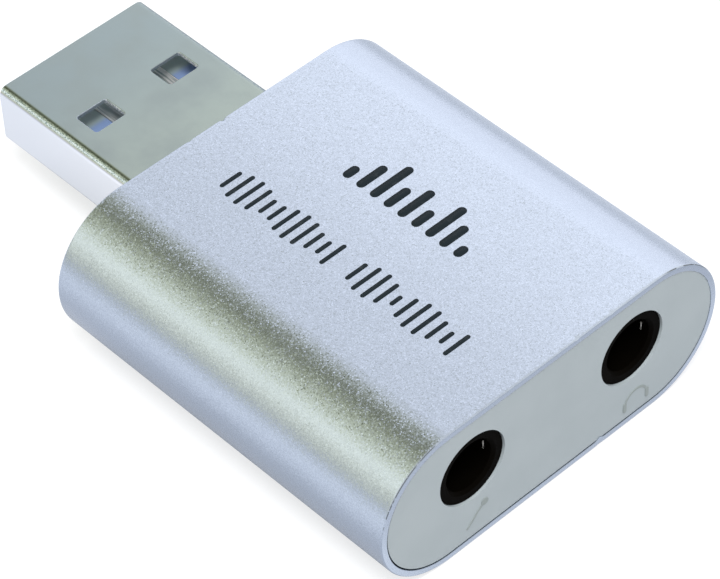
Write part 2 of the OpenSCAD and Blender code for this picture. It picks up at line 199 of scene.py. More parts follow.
class Graph:
    """The node tree of one material or world."""

    def __init__(self, tree: bpy.types.NodeTree) -> None:
        """Empty the tree."""
        self.tree = tree
        tree.nodes.clear()

    def node(
        self, kind: str, settings: Mapping[str, Any] | None = None, inputs: Mapping[Any, Input] | None = None
    ) -> bpy.types.Node:
        """Add one node.

        Args:
            kind: Blender's type of node.
            settings: The node's own settings, which are set first; "stops" are a ramp's stops.
            inputs: A value or a link for each socket, by its name or number.

        Returns:
            The node.
        """
        node = self.tree.nodes.new(kind)
        for name, value in (settings or {}).items():
            if name == "stops":
                self._set_stops(node.color_ramp, value)
            else:
                setattr(node, name, value)
        for key, value in (inputs or {}).items():
            self._feed(node.inputs[key], value)
        return node

    def _feed(self, socket: bpy.types.NodeSocket, value: Input) -> None:
        """Link a socket or set it.

        Args:
            socket: The socket.
            value: A number or a vector to set, or the value or socket to link.
        """
        if isinstance(value, Value):
            self.tree.links.new(value.socket, socket)
        elif isinstance(value, bpy.types.NodeSocket):
            self.tree.links.new(value, socket)
        elif isinstance(value, (int, float)):
            socket.default_value = value
        else:
            socket.default_value = tuple(value) + (1.0,) if socket.type == "RGBA" else tuple(value)

    @staticmethod
    def _set_stops(ramp: bpy.types.ColorRamp, stops: Sequence[tuple[float, Colour]]) -> None:
        """Give a ramp its stops in place of its own.

        Args:
            ramp: The ramp.
            stops: The place, from 0 to 1, and the colour of each stop.
        """
        while len(ramp.elements) > 1:
            ramp.elements.remove(ramp.elements[-1])
        for index, (place, colour) in enumerate(stops):
            element = ramp.elements[0] if index == 0 else ramp.elements.new(place)
            element.position = place
            element.color = (*colour, 1.0)

    def value(self, socket: bpy.types.NodeSocket) -> Value:
        """Wrap a socket as a number."""
        return Value(self, socket)

    def place(self) -> bpy.types.NodeSocket:
        """Place in the part's frame, in metres."""
        return self.node("ShaderNodeTexCoord").outputs["Object"]

    def normal(self) -> bpy.types.NodeSocket:
        """The surface's normal before any bump."""
        return self.node("ShaderNodeNewGeometry").outputs["Normal"]

    def axes(self, vector: bpy.types.NodeSocket) -> tuple[Value, Value, Value]:
        """The three numbers of a vector."""
        outputs = self.node("ShaderNodeSeparateXYZ", inputs={0: vector}).outputs
        return Value(self, outputs[0]), Value(self, outputs[1]), Value(self, outputs[2])

    def noise(
        self, size: float, detail: float = 2.0, roughness: float = 0.5, place: bpy.types.NodeSocket | None = None
    ) -> Value:
        """Noise between 0 and 1.

        Args:
            size: Size of its blotches in millimetres.
            detail: Octaves of finer noise.
            roughness: Strength of the finer octaves.
            place: The vector that it is read at, in metres, where it isn't the plain place.

        Returns:
            The noise as a number.
        """
        inputs = {
            "Vector": place or self.place(), "Scale": 1 / (size * MM), "Detail": detail, "Roughness": roughness,
        }
        return Value(self, self.node("ShaderNodeTexNoise", inputs=inputs).outputs[0])

    def cells(self, size: float) -> bpy.types.Node:
        """Scattered cells of a size in millimetres."""
        inputs = {"Vector": self.place(), "Scale": 1 / (size * MM)}
        return self.node("ShaderNodeTexVoronoi", inputs=inputs)

    def vector(self, operation: str, *operands: Input) -> bpy.types.NodeSocket:
        """Add one Vector Math node on the operands."""
        return self.node("ShaderNodeVectorMath", {"operation": operation}, dict(enumerate(operands))).outputs[0]

    def tilted(self, facets: bpy.types.NodeSocket, tilt: Number) -> bpy.types.NodeSocket:
        """The surface's normal, tipped at random in each facet: mostly a little, and seldom by a full tilt.

        Args:
            facets: A random colour for each facet.
            tilt: The full tilt, as a share of the normal.

        Returns:
            The tipped normal.
        """
        spread = self.vector("MULTIPLY_ADD", facets, (2.0, 2.0, 2.0), (-1.0, -1.0, -1.0))
        square = self.vector("MULTIPLY", spread, spread)
        steep = self.vector("MULTIPLY", self.vector("MULTIPLY", square, square), spread)
        lean = self.node("ShaderNodeVectorMath", {"operation": "SCALE"}, {0: steep, "Scale": tilt}).outputs[0]
        return self.vector("NORMALIZE", self.vector("ADD", self.normal(), lean))

    def mix(self, factor: Input, first: Input, second: Input) -> bpy.types.NodeSocket:
        """Blend two colours by a factor."""
        settings = {"data_type": "RGBA", "blend_type": "MIX", "clamp_factor": True}
        return self.node("ShaderNodeMix", settings, {0: factor, 6: first, 7: second}).outputs[2]

    def bump(
        self, height: Value, depth: float, normal: bpy.types.NodeSocket | None = None
    ) -> bpy.types.NodeSocket:
        """Raise a surface by a height.

        Args:
            height: The height, between 0 and 1.
            depth: What a height of 1 stands for, in millimetres.
            normal: The normal to start from, where it isn't the plain one.

        Returns:
            The raised surface's normal.
        """
        inputs = {"Height": height, "Distance": depth * MM, "Strength": 1.0}
        if normal:
            inputs["Normal"] = normal
        return self.node("ShaderNodeBump", inputs=inputs).outputs[0]

    def finish_surface(self, **inputs: Input) -> None:
        """Add the surface shader and the output.

        Args:
            inputs: The surface shader's sockets, with _ for each space, and what feeds them.
        """
        named = {name.replace("_", " "): value for name, value in inputs.items()}
        shader = self.node("ShaderNodeBsdfPrincipled", inputs=named)
        self.node("ShaderNodeOutputMaterial", inputs={"Surface": shader.outputs[0]})


# Finishes


@dataclass(frozen=True)
class Finish:
    """What every finish has: its name, its slot in the record, and a way to shade it."""

    name: str
    slot: Slot | None

    def shade(self, graph: Graph) -> None:
        """Build the nodes."""
        raise NotImplementedError

    def material(self) -> bpy.types.Material:
        """The finish as a Blender material, made once.

        Returns:
            The material.
        """
        name = f"{self.name}_finish"
        found = bpy.data.materials.get(name)
        if found is None:
            found = bpy.data.materials.new(name)
            found.use_nodes = True
            self.shade(Graph(found.node_tree))
        return found


@dataclass(frozen=True)
class BlastedAluminium(Finish):
    """Bead-blasted and anodised aluminium: fine facets that glitter on the left round, and a broken dark line of
    painted reflection on the front edge.

    The base colour lies between deep and pale, and each share says how far its cause moves it towards pale; the
    shares across and upward, and those of the lip, are painted light and shade.
    """

    deep: Colour = (0.40, 0.455, 0.535)
    pale: Colour = (0.74, 0.825, 0.93)
    base_share: float = -0.425
    # painted light: the base colour pales to the right and towards the top, which darkens it low down as painted
    # shade
    painted_light_across_share: float = 0.35
    painted_light_upward_share: float = 0.8
    facet_share: float = 0.3
    crater_share: float = 0.08
    # painted shade: the front lip's face takes its own darker colour, darkest at its top
    lip_shade_share: Span = (0.68, 0.28)
    across: Span = (-9.0, 9.0)
    upward: Span = (4.2, 8.2)
    lip_facing: Span = (0.8, 0.97)
    roughness: float = 0.29
    blotch: float = 6.0
    blotch_roughness: float = 0.05
    facet: float = 0.066
    facet_roughness: float = 0.08
    facet_tilt: Span = (0.09, 0.27)
    glitter_upward: Span = (9.0, 10.1)
    glitter_left: Span = (8.2, 9.8)
    crater: float = 0.2
    crater_depth: float = 0.008
    # painted reflection: broken dark patches along the front edge, as the dark that its chamfer mirrors
    dark_reflection: Colour = (0.10, 0.11, 0.10)
    dark_reflection_share: float = 0.8
    dark_reflection_patch: float = 0.45
    dark_reflection_patch_edge: Span = (0.42, 0.5)
    dark_reflection_outward: Span = (8.9, 9.8)
    dark_reflection_upward: Span = (6.0, 7.5)
    edge_facing: Span = (0.3, 0.5)
    face_facing: Span = (0.72, 0.9)

    def shade(self, graph: Graph) -> None:
        """Facets and craters in the normal, a little spread in colour, painted light and shade, and a painted dark
        reflection on the front edge.

        Args:
            graph: The material's empty node tree.
        """
        cells = graph.cells(self.facet).outputs["Color"]
        red, _, blue = graph.axes(cells)
        craters = graph.noise(self.crater, 2.0, 0.6)
        across, _, upward = graph.axes(graph.place())
        _, backward, _ = graph.axes(graph.normal())
        forward, raised = -backward, upward.over(self.upward)
        # painted light and shade across and up the sleeve, with random tone from the facets and craters
        body = across.over(self.across) * self.painted_light_across_share + raised * self.painted_light_upward_share + self.base_share
        body += red * self.facet_share + craters * self.crater_share
        lip = forward.rise(*self.lip_facing)
        # painted shade on the front lip's face, darker towards the top
        share = body * (1 - lip) + lip * (self.lip_shade_share[0] + raised * (self.lip_shade_share[1] - self.lip_shade_share[0]))
        # painted dark reflection on the front edge's chamfer, in broken patches
        dark_reflection = forward.rise(*self.edge_facing) * (1 - forward.rise(*self.face_facing)) * self.dark_reflection_share
        dark_reflection *= abs(across).over(self.dark_reflection_outward) * upward.over(self.dark_reflection_upward)
        dark_reflection *= graph.noise(self.dark_reflection_patch, 2.0, 0.7).rise(*self.dark_reflection_patch_edge)
        glitter = (-across).over(self.glitter_left) * upward.over(self.glitter_upward)
        tilt = self.facet_tilt[0] + glitter * (self.facet_tilt[1] - self.facet_tilt[0])
        blotches = (graph.noise(self.blotch, 2.0) - 0.5) * self.blotch_roughness
        graph.finish_surface(
            Base_Color=graph.mix(dark_reflection, graph.mix(share, self.deep, self.pale), self.dark_reflection),
            Metallic=1.0,
            Roughness=self.roughness + blotches + (blue - 0.5) * self.facet_roughness,
            Normal=graph.bump(craters, self.crater_depth, graph.tilted(cells, tilt)),
        )


@dataclass(frozen=True)
class PlatedMetal(Finish):
    """Rolled or drawn metal with a thin bright plating."""

    colour: Colour
    dull: Colour
    roughness: float
    metallic: float = 1.0
    cloud: float = 2.5
    cloud_edge: Span = (0.3, 0.75)
    # pale streaks of painted highlight, for finishes that have them
    highlight_streaks: Colour | None = None
    streak: float = 0.26
    streak_edge: Span = (0.44, 0.56)
    streak_scale: tuple[float, float, float] = (1.0, 0.05, 1.0)
    mark: float = 0.9
    mark_roughness: float = 0.1
    grain: float = 0.35
    grain_depth: float = 0.0006

    def shade(self, graph: Graph) -> None:
        """Cloudy plating, with painted highlight streaks where it has them, faint marks in its gloss and a fine
        grain.

        Args:
            graph: The material's empty node tree.
        """
        colour = graph.mix(graph.noise(self.cloud, 3.0).rise(*self.cloud_edge), self.colour, self.dull)
        # painted highlight: pale streaks drawn out along the part
        if self.highlight_streaks:
            drawn_out = graph.vector("MULTIPLY", graph.place(), self.streak_scale)
            highlight_streaks = graph.noise(self.streak, 2.0, 0.6, drawn_out).rise(*self.streak_edge)
            colour = graph.mix(highlight_streaks, colour, self.highlight_streaks)
        graph.finish_surface(
            Base_Color=colour,
            Metallic=self.metallic,
            Roughness=self.roughness + (graph.noise(self.mark, 4.0, 0.65) - 0.5) * self.mark_roughness,
            Normal=graph.bump(graph.noise(self.grain, 2.0), self.grain_depth),
        )


@dataclass(frozen=True)
class PlugNickel(Finish):
    """Nickel on the folded plug, with painted light: a shaded copy of the nickel above and below, a lit copy on its
    sides, and pits on folds and cut edges.
    """

    # The top, side and fold colours are lit and shaded copies of one nickel: painted light. The top darkens and the
    # sides dim towards the tip, as painted shade.
    near: Colour = (0.455, 0.525, 0.46)
    tip: Colour = (0.37, 0.445, 0.435)
    dull: Colour = (0.36, 0.42, 0.395)
    bright: Colour = (0.965, 0.98, 1.0)
    shaded_side_at_tip: Colour = (0.84, 0.87, 0.905)
    folded: Colour = (0.68, 0.76, 0.85)
    shaded_far_fold: Colour = (0.52, 0.6, 0.56)
    # dark colour for real pits, and for painted shade on the windows' end walls
    pits_and_shade: Colour = (0.27, 0.34, 0.38)
    length: Span = (7.5, 20.0)
    sides: float = 5.3
    side_facing: Span = (0.45, 0.75)
    flat_facing: Span = (0.93, 0.998)
    cloud: float = 3.0
    cloud_edge: Span = (0.35, 0.8)
    cloud_share: float = 0.8
    pit: float = 0.085
    pit_edge: Span = (0.44, 0.6)
    shaded_share: float = 0.85
    shaded_until: Span = (16.5, 17.5)
    sideways_facing: Span = (0.5, 0.8)
    roughness: float = 0.17
    mark: float = 0.9
    mark_roughness: float = 0.08
    cut_roughness: float = 0.4
    cut_metallic: float = 0.6
    grain: float = 0.3
    grain_depth: float = 0.0008

    def shade(self, graph: Graph) -> None:
        """Cloudy plating with pits over the folds, rougher on the cut edges; top, sides, folds and cut edges each
        take their own copy of the colour as painted light and shade, with painted shade on the windows' end walls.

        Args:
            graph: The material's empty node tree.
        """
        across, along, _ = graph.axes(graph.place())
        sideways, _, level = graph.axes(graph.normal())
        outward = along.over(self.length)
        upright = 1 - abs(level).rise(*self.side_facing)
        bent = (1 - upright) * (1 - abs(level).rise(*self.flat_facing))
        cut = upright * (1 - abs(across).above(self.sides * MM))
        shaded = (1 - abs(sideways).rise(*self.sideways_facing)) * (1 - along.over(self.shaded_until))
        pits = graph.noise(self.pit, 2.0, 0.7).rise(*self.pit_edge)
        clouds = graph.noise(self.cloud, 3.0).rise(*self.cloud_edge) * self.cloud_share
        # painted shade: the top is a dark copy of the nickel, darker towards the tip, under random clouds
        face = graph.mix(clouds, graph.mix(outward, self.near, self.tip), self.dull)
        # painted reflection: the sides are a pale copy, dimmer towards the tip
        side = graph.mix(outward, self.bright, self.shaded_side_at_tip)
        # cut edges: a pale copy as painted highlight with pits, and painted shade on the windows' end walls
        cut_light_and_shade = graph.mix(pits.at_least(shaded * self.shaded_share), self.bright, self.pits_and_shade)
        # folds: their own copy as painted light, darker on the far fold as painted shade, with pits
        folded = graph.mix(pits, graph.mix(across.above(0.0), self.folded, self.shaded_far_fold), self.pits_and_shade)
        marks = (graph.noise(self.mark, 4.0, 0.65) - 0.5) * self.mark_roughness
        graph.finish_surface(
            Base_Color=graph.mix(bent, graph.mix(upright, face, graph.mix(cut, side, cut_light_and_shade)), folded),
            Metallic=1 - cut * (1 - self.cut_metallic),
            Roughness=self.roughness + marks + cut * self.cut_roughness,
            Normal=graph.bump(graph.noise(self.grain, 2.0), self.grain_depth),
        )


@dataclass(frozen=True)
class MouldedPlastic(Finish):
    """Moulded plastic: an even colour with a faint flow cloud, fine specks and a soft skin."""

    colour: Colour
    second: Colour
    roughness: float
    cloud: float = 3.5
    cloud_edge: Span = (0.3, 0.7)
    mark: float = 0.8
    mark_roughness: float = 0.1
    skin: float = 0.25
    skin_depth: float = 0.0012
    gloss: float = 0.5
    specks: Colour | None = None
    speck_spacing: float = 1.6
    speck_edge: Span = (0.03, 0.06)
    speck_share: float = 0.6

    def base_colour(self, graph: Graph) -> bpy.types.NodeSocket:
        """Flow clouds of the second colour, and the specks.

        Args:
            graph: The material's node tree.

        Returns:
            The colour for the base.
        """
        colour = graph.mix(graph.noise(self.cloud, 3.0).rise(*self.cloud_edge), self.colour, self.second)
        if self.specks:
            distance = graph.value(graph.cells(self.speck_spacing).outputs["Distance"])
            dots = (1 - distance.rise(*self.speck_edge)) * self.speck_share
            colour = graph.mix(dots, colour, self.specks)
        return colour

    def shade(self, graph: Graph) -> None:
        """The colour, with faint marks in the gloss and a fine skin as a bump.

        Args:
            graph: The material's empty node tree.
        """
        graph.finish_surface(
            Base_Color=self.base_colour(graph),
            Roughness=self.roughness + (graph.noise(self.mark, 3.0) - 0.5) * self.mark_roughness,
            Specular_IOR_Level=self.gloss,
            Normal=graph.bump(graph.noise(self.skin, 2.0), self.skin_depth),
        )


@dataclass(frozen=True)
class TonguePlastic(MouldedPlastic):
    """Plastic of the tongue; its second colour is painted shade and reflection: the grey that the dull metal over
    its outer part would cast.
    """

    # where the painted grey shade of the metal above lies along the tongue
    metal_shade_from: Span = (16.3, 16.85)
    metal_shade_to: Span = (17.7, 18.3)

    def base_colour(self, graph: Graph) -> bpy.types.NodeSocket:
        """The second colour, as painted shade, over a length of the tongue.

        Args:
            graph: The material's node tree.

        Returns:
            The colour for the base.
        """
        _, along, _ = graph.axes(graph.place())
        # painted shade: the tongue greys over a length under the metal
        metal_shade = along.over(self.metal_shade_from) * (1 - along.over(self.metal_shade_to))
        return graph.mix(metal_shade, self.colour, self.second)


@dataclass(frozen=True)
class BoardLaminate(Finish):
    """Glass-fibre laminate under green solder resist, with a weave and copper tracks that show through."""

    resist: Colour = (0.012, 0.11, 0.05)
    over_copper: Colour = (0.03, 0.19, 0.08)
    track: float = 1.2
    track_edge: Span = (0.03, 0.05)
    weave: float = 0.5
    weave_depth: float = 0.006
    roughness: float = 0.32
    bare_roughness: float = 0.38

    def shade(self, graph: Graph) -> None:
        """Tracks as paler bands, and the weave as a bump.

        Args:
            graph: The material's empty node tree.
        """
        x, y, _ = graph.axes(graph.place())
        bare = abs(graph.noise(self.track, 0.0) - 0.5).rise(*self.track_edge)
        threads = FULL_TURN / (self.weave * MM)
        weave = (x * threads).sine() * (y * threads).sine()
        graph.finish_surface(
            Base_Color=graph.mix(bare, self.over_copper, self.resist),
            Roughness=self.roughness + bare * (self.bare_roughness - self.roughness),
            Normal=graph.bump((weave + 1 - bare) * 0.5, self.weave_depth),
        )


@dataclass(frozen=True)
class ChipBody(Finish):
    """A small ceramic part whose two ends are plated; the ends are found in the part's own box."""

    colour: Colour
    plating: Colour = (0.72, 0.72, 0.74)
    end: float = 0.19
    roughness: float = 0.5
    plated_roughness: float = 0.3
    grain: float = 0.15
    grain_depth: float = 0.003
    grain_roughness: float = 0.1

    def shade(self, graph: Graph) -> None:
        """Ceramic in the middle and metal at the ends.

        Args:
            graph: The material's empty node tree.
        """
        across, _, _ = graph.axes(graph.node("ShaderNodeTexCoord").outputs["Generated"])
        ends = abs(across - 0.5).above(0.5 - self.end)
        grain = graph.noise(self.grain, 2.0)
        smoother = ends * (self.plated_roughness - self.roughness)
        graph.finish_surface(
            Base_Color=graph.mix(ends, self.colour, self.plating),
            Metallic=ends,
            Roughness=self.roughness + smoother + (grain - 0.5) * self.grain_roughness,
            Normal=graph.bump(grain, self.grain_depth),
        )


@dataclass(frozen=True)
class PrintedInk(Finish):
    """Pad-printed ink: a matt film, slightly thin in places."""

    colour: Colour = (0.010, 0.017, 0.022)
    thin: Colour = (0.03, 0.038, 0.043)
    film: float = 0.5
    thin_edge: Span = (0.52, 0.8)
    roughness: float = 0.55
    film_roughness: float = 0.2
    gloss: float = 0.16
    grain: float = 0.17
    grain_depth: float = 0.005

    def shade(self, graph: Graph) -> None:
        """Thin places as a paler colour, and the blasted metal felt through the film.

        Args:
            graph: The material's empty node tree.
        """
        film = graph.noise(self.film, 3.0, 0.6)
        graph.finish_surface(
            Base_Color=graph.mix(film.rise(*self.thin_edge), self.colour, self.thin),
            Roughness=self.roughness + (film - 0.5) * self.film_roughness,
            Specular_IOR_Level=self.gloss,
            Normal=graph.bump(graph.noise(self.grain, 1.5), self.grain_depth),
        )


ALUMINIUM = BlastedAluminium("blasted_aluminium", Slot.ALUMINIUM)
CAP_PLASTIC = MouldedPlastic("white_cap_plastic", Slot.CAP, (0.475, 0.535, 0.555), (0.45, 0.51, 0.53), 0.42)
JACK_PLASTIC = MouldedPlastic(
    "black_jack_plastic", Slot.JACK, (0.0016, 0.0012, 0.0007), (0.0026, 0.002, 0.0012), 0.6,
    gloss=0.02, specks=(0.10, 0.08, 0.05),
)
# the tongue's second colour is a painted grey shade and reflection of the metal over it
TONGUE_PLASTIC = TonguePlastic(
    "blue_tongue_plastic", Slot.TONGUE, (0.265, 0.375, 0.64), (0.56, 0.68, 0.68), 0.3, gloss=0.8
)
BASE_PLASTIC = MouldedPlastic("black_base_plastic", Slot.BASE, (0.02, 0.02, 0.022), (0.03, 0.03, 0.032), 0.5)
CHIP_EPOXY = MouldedPlastic("chip_epoxy_black", Slot.EPOXY, (0.017, 0.017, 0.018), (0.026, 0.026, 0.027), 0.6)
NICKEL = PlugNickel("nickel_plate", Slot.NICKEL)
# the contacts take pale streaks as painted highlight
GOLD = PlatedMetal(
    "contact_gold", Slot.GOLD, (0.56, 0.61, 0.60), (0.46, 0.51, 0.50), 0.3, 0.5, highlight_streaks=(1.0, 1.0, 0.98)
)
SPRING_ALLOY = PlatedMetal("spring_plate", Slot.SPRING, (0.62, 0.61, 0.57), (0.54, 0.53, 0.49), 0.3, 0.4)
TINNED = PlatedMetal("tinned_copper", Slot.LEAD, (0.66, 0.68, 0.71), (0.56, 0.58, 0.6), 0.3)
CAN_METAL = PlatedMetal("drawn_can_metal", Slot.CAN, (0.72, 0.74, 0.76), (0.64, 0.66, 0.68), 0.28)
LAMINATE = BoardLaminate("green_laminate", Slot.BOARD)
RESISTOR = ChipBody("resistor_ceramic", Slot.RESISTOR, (0.02, 0.02, 0.024))
CAPACITOR = ChipBody("capacitor_ceramic", Slot.CAPACITOR, (0.42, 0.28, 0.14))
CRYSTAL_CERAMIC = MouldedPlastic("crystal_ceramic", Slot.CAPACITOR, (0.42, 0.33, 0.19), (0.38, 0.3, 0.17), 0.5)
# the signs are the cap's plastic in a darker copy: painted relief shade
SHADED_SIGN_PLASTIC = MouldedPlastic("shaded_sign_plastic", Slot.CAP, (0.31, 0.355, 0.345), (0.35, 0.395, 0.39), 0.5)
INK = PrintedInk("printed_ink", None)


# Outlines and meshes


def circle(centre: Point, radius: float, steps: int = 96) -> Outline:
    """A circle as a closed outline."""
    turns = [FULL_TURN * step / steps for step in range(steps)]
    return [(centre[0] + radius * math.cos(turn), centre[1] + radius * math.sin(turn)) for turn in turns]


def stroke(path: Sequence[Point], width: float, cap_steps: int = 8) -> Outline:
    """The outline of a pen stroke with round ends.

    Args:
        path: The points that the pen passes, from one end to the other.
        width: Width of the stroke.
        cap_steps: Number of steps round each end.

    Returns:
        The closed outline.
    """
    points = [Vector(point) for point in path]
    headings = [(after - before).normalized() for before, after in zip(points, points[1:])]
    left, right = [], []
    for index, point in enumerate(points):
        before = headings[max(index - 1, 0)]
        after = headings[min(index, len(headings) - 1)]
        normal = Vector((-before.y - after.y, before.x + after.x))
        offset = normal * (width / normal.length_squared)
        left.append(point + offset)
        right.append(point - offset)
    outline = left + round_end(points[-1], headings[-1], width / 2, cap_steps)
    outline += right[::-1] + round_end(points[0], -headings[0], width / 2, cap_steps)
    return [(point.x, point.y) for point in outline]


def round_end(centre: Vector, heading: Vector, radius: float, steps: int) -> list[Vector]:
    """A half circle, from the left of a heading round to its right.

    Args:
        centre: Middle of the half circle.
        heading: Which way it bulges.
        radius: Its radius.
        steps: Number of steps round it.

    Returns:
        The points, without its two ends.
    """
    left = Vector((-heading.y, heading.x))
    turns = [HALF_TURN * step / steps for step in range(1, steps)]
    return [centre + radius * (left * math.cos(turn) + heading * math.sin(turn)) for turn in turns]


def strip(path: Sequence[Point], width: float) -> Outline:
    """The outline of a strip of sheet that follows a path along its middle, with mitred corners."""
    return stroke(path, width, 1)


def rectangle(left: float, right: float, low: float, high: float) -> Outline:
    """A rectangle as a closed outline."""
    return [(left, low), (right, low), (right, high), (left, high)]


def rounded(corners: Sequence[Point], radii: Sequence[float], steps: int = 4) -> Outline:
    """Round the right-angled corners of an outline.

    Args:
        corners: The corners, in order.
        radii: The radius of each.
        steps: Number of steps round each.

    Returns:
        The closed outline.
    """
    outline = []
    for index, (corner, radius) in enumerate(zip(corners, radii)):
        here = Vector(corner)
        back = (Vector(corners[index - 1]) - here).normalized() * radius
        ahead = (Vector(corners[(index + 1) % len(corners)]) - here).normalized() * radius
        middle = here + back + ahead
        for step in range(steps + 1 if radius else 1):
            turn = QUARTER_TURN * step / steps
            point = middle - ahead * math.cos(turn) - back * math.sin(turn)
            outline.append((point.x, point.y))
    return outline


def into_scene(name: str, data: bpy.types.ID) -> bpy.types.Object:
    """Put an object into the scene.

    Args:
        name: Name of the object.
        data: Its mesh, camera or light.

    Returns:
        The object.
    """
    made = bpy.data.objects.new(name, data)
    bpy.context.scene.collection.objects.link(made)
    return made


class Blank:
    """A mesh in the making, in millimetres."""

    def __init__(self) -> None:
        """Start with an empty mesh."""
        self.mesh = bmesh.new()

    def loft(self, rings: Sequence[Sequence[Vector]]) -> "Blank":
        """Skin closed rings of points, the last ring joined to the first, into one closed tube.

        Args:
            rings: The rings, each with as many points as the next.

        Returns:
            The blank, with the tube added.
        """
        rows = [[self.mesh.verts.new(point) for point in ring] for ring in rings]
        for row, after in zip(rows, rows[1:] + rows[:1]):
            for index, corner in enumerate(row):
                ahead = (index + 1) % len(row)
                self.mesh.faces.new((corner, row[ahead], after[ahead], after[index]))
        return self

    def slab(self, outlines: Sequence[Outline], plane: Plane, low: float, high: float) -> "Blank":
        """Add a plate with square sides.

        Args:
            outlines: The outer outline, then those of its holes.
            plane: The plane they are drawn in.
            low: Level of one face of the plate.
            high: Level of the other.

        Returns:
            The blank, with the plate added.
        """
        above, walls, edges = {}, [], []
        for outline in outlines:
            lower = [self.mesh.verts.new(plane.place(u, v, low)) for u, v in outline]
            upper = [self.mesh.verts.new(plane.place(u, v, high)) for u, v in outline]
            above.update(zip(lower, upper))
            for index in range(len(outline)):
                ahead = (index + 1) % len(outline)
                walls.append((lower[index], lower[ahead], upper[ahead], upper[index]))
                edges.append(self.mesh.edges.new((lower[index], lower[ahead])))
        filled = bmesh.ops.triangle_fill(self.mesh, use_beauty=True, edges=edges)["geom"]
        for face in [item for item in filled if isinstance(item, bmesh.types.BMFace)]:
            self.mesh.faces.new([above[corner] for corner in face.verts])
        for wall in walls:
            self.mesh.faces.new(wall)
        return self

    def bend(self, move: Callable[[Vector], Vector]) -> "Blank":
        """Move each point of the mesh by a rule.

        Args:
            move: The rule, from the place of a point to its new place.

        Returns:
            The blank.
        """
        for point in self.mesh.verts:
            point.co = move(point.co)
        return self

    def finished(self, name: str) -> bpy.types.Mesh:
        """Close the blank as mesh data in metres, with its faces turned outwards.

        Args:
            name: Name of the mesh data.

        Returns:
            The mesh data. The blank is used up.
        """
        bmesh.ops.recalc_face_normals(self.mesh, faces=self.mesh.faces)
        bmesh.ops.scale(self.mesh, vec=(MM, MM, MM), verts=self.mesh.verts)
        data = bpy.data.meshes.new(name)
        self.mesh.to_mesh(data)
        self.mesh.free()
        return data

    def piece(self, name: str, finish: Finish) -> bpy.types.Object:
        """Turn the blank into an object in metres that rides on the body.

        Args:
            name: Name of the piece.
            finish: Its finish.

        Returns:
            The piece.
        """
        data = self.finished(name)
        data.shade_smooth()
        data.materials.append(finish.material())
        made = into_scene(name, data)
        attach(made, Body.ROOT.value)
        return made


def carve(piece: bpy.types.Object, tool: Blank, operation: str) -> None:
    """Cut a blank out of a piece, or join it to the piece.

    Args:
        piece: The piece, which keeps its finish.
        tool: The blank, which is used up.
        operation: DIFFERENCE or UNION.
    """
    other = tool.piece("tool", ALUMINIUM)
    cut = piece.modifiers.new("cut", "BOOLEAN")
    cut.operation, cut.solver, cut.object = operation, "EXACT", other
    evaluated = piece.evaluated_get(bpy.context.evaluated_depsgraph_get())
    result = bpy.data.meshes.new_from_object(evaluated)
    piece.modifiers.clear()
    piece.data = result
    bpy.data.objects.remove(other)


def soften(piece: bpy.types.Object, width: float, segments: int = 2, weld: bool = False) -> bpy.types.Object:
    """Round the sharp edges of a piece, and keep its flat faces flat in the light.

    Args:
        piece: The piece.
        width: Width of the rounding in millimetres.
        segments: Steps across the rounding.
        weld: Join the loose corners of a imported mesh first.

    Returns:
        The piece.
    """
    if weld:
        piece.modifiers.new("weld", "WELD").merge_threshold = WELD_GAP * MM
    bevel = piece.modifiers.new("soft_edges", "BEVEL")
    bevel.width = width * MM
    bevel.segments = segments
    bevel.limit_method = "ANGLE"
    bevel.angle_limit = SHARP_EDGE
    bevel.use_clamp_overlap = True
    bevel.harden_normals = True
    even = piece.modifiers.new("flat_faces", "WEIGHTED_NORMAL")
    even.keep_sharp = True
    return piece


# The part


@dataclass(frozen=True)
class Nick:
    """A small dent in an edge of the sleeve."""

    place: Place
    depth: float
    reach: float


